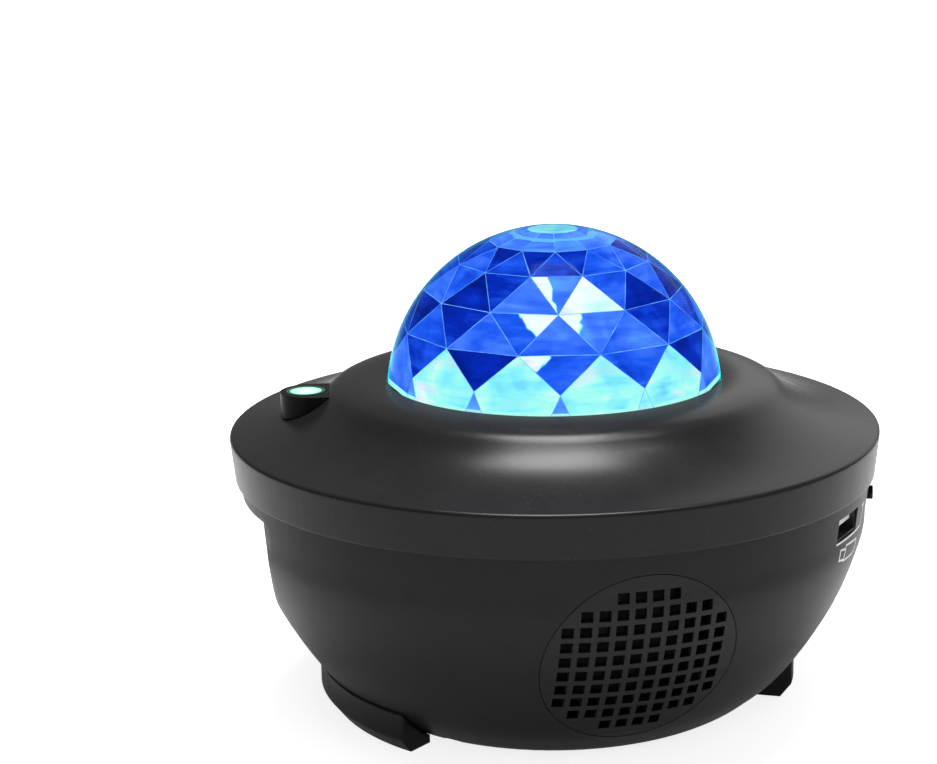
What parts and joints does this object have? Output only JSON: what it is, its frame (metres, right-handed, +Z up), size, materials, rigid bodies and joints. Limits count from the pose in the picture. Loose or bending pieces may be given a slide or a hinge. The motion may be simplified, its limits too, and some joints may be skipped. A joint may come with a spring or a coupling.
{
  "type": "night light projector",
  "caption": "Round table-top night light projector with a faceted light dome, a side laser pod, a front loudspeaker grille, side buttons and two curved feet.",
  "frame": {"origin": "middle of the footprint, on the surface the feet stand on", "axes": "+Z up, -Y towards the front, where the loudspeaker looks out, +X towards the side with the USB socket and the buttons"},
  "size_m": [0.1678, 0.1678, 0.1226],
  "materials": {
    "case_black": "fine satin moulded grain",
    "gloss_black": "glossy",
    "dome_blue": "clear faceted, lit from inside",
    "window_green": "clear, lit",
    "bezel_green": "translucent",
    "inner_grey": "satin",
    "inner_white": "satin white",
    "aluminium": "milled",
    "steel": "satin",
    "brass": "turned",
    "board_green": "solder mask",
    "board_white": "solder mask",
    "chip_black": "moulded",
    "capacitor_blue": "sleeve",
    "led_yellow": "phosphor",
    "lens_clear": "clear",
    "disc_clear": "rippled, clear",
    "gear_white": "nylon",
    "magnet_grey": "ferrite",
    "cone_paper": "pressed paper",
    "rubber_black": "matte",
    "tongue_grey": "satin"
  },
  "bodies": {
    "case": {"top_cover": "case_black", "lower_bowl": "case_black", "base_plate": "case_black", "foot_left": "case_black", "foot_right": "case_black", "speaker_grille": "case_black", "dome": "dome_blue", "dome_ring": "inner_grey", "pod_housing": "gloss_black", "pod_bezel": "bezel_green", "pod_window": "window_green", "chassis": "inner_grey", "light_shroud": "inner_white", "heat_plate": "aluminium", "led_board": "board_white", "led_chips": "led_yellow", "led_lenses": "lens_clear", "infrared_receiver": "chip_black", "ripple_spindle": "steel", "ripple_motor": "steel", "laser_barrel": "brass", "laser_block": "aluminium", "star_motor": "steel", "speaker_gasket": "rubber_black", "speaker_basket": "steel", "speaker_surround": "rubber_black", "speaker_magnet": "magnet_grey", "main_board": "board_green", "main_chips": "chip_black", "capacitors": "capacitor_blue", "socket_board": "board_green", "usb_shell": "steel", "usb_tongue": "tongue_grey", "push_switches": "chip_black", "microphone": "steel", "power_inlet": "chip_black", "power_pin": "brass", "case_screws": "steel", "base_screws": "steel", "foot_screws": "steel", "ring_screws": "steel", "speaker_screws": "steel", "board_screws": "steel"},
    "ripple_rotor": {"ripple_gear": "gear_white", "ripple_disc": "disc_clear"},
    "ripple_drive": {"ripple_pinion": "gear_white"},
    "star_rotor": {"star_gear": "gear_white", "star_grating": "disc_clear"},
    "star_drive": {"star_pinion": "gear_white"},
    "cone": {"speaker_cone": "cone_paper"},
    "button_1": {"button_1": "gloss_black"},
    "button_2": {"button_2": "gloss_black"},
    "button_3": {"button_3": "gloss_black"},
    "button_4": {"button_4": "gloss_black"}
  },
  "joints": [
    {"name": "ripple_spin", "type": "hinge", "parent": "case", "child": "ripple_rotor", "pos_m": [0, 0, 0.07], "axis": [0, 0, 1], "continuous": true},
    {"name": "ripple_pinion_spin", "type": "hinge", "parent": "case", "child": "ripple_drive", "pos_m": [0, 0.0192, 0.07], "axis": [0, 0, 1], "continuous": true},
    {"name": "star_spin", "type": "hinge", "parent": "case", "child": "star_rotor", "pos_m": [-0.06313, 0.01113, 0.066], "axis": [0, 0, 1], "continuous": true},
    {"name": "star_pinion_spin", "type": "hinge", "parent": "case", "child": "star_drive", "pos_m": [-0.06521, -0.00069, 0.066], "axis": [0, 0, 1], "continuous": true},
    {"name": "cone_stroke", "type": "slide", "parent": "case", "child": "cone", "axis": [0, -1, 0], "range_m": [-0.0004, 0.0004], "stiffness_N_per_m": 1500},
    {"name": "button_1_press", "type": "slide", "parent": "case", "child": "button_1", "axis": [-0.9272, 0.3746, 0], "range_m": [0, 0.0005], "stiffness_N_per_m": 400, "springref_m": -0.0003},
    {"name": "button_2_press", "type": "slide", "parent": "case", "child": "button_2", "axis": [-0.9763, 0.2164, 0], "range_m": [0, 0.0005], "stiffness_N_per_m": 400, "springref_m": -0.0003},
    {"name": "button_3_press", "type": "slide", "parent": "case", "child": "button_3", "axis": [-0.9986, 0.0523, 0], "range_m": [0, 0.0005], "stiffness_N_per_m": 400, "springref_m": -0.0003},
    {"name": "button_4_press", "type": "slide", "parent": "case", "child": "button_4", "axis": [-0.9936, -0.1132, 0], "range_m": [0, 0.0005], "stiffness_N_per_m": 400, "springref_m": -0.0003}
  ],
  "couplings": [
    {"joint": "ripple_pinion_spin", "follows": "ripple_spin", "ratio": -3},
    {"joint": "star_pinion_spin", "follows": "star_spin", "ratio": -3}
  ]
}
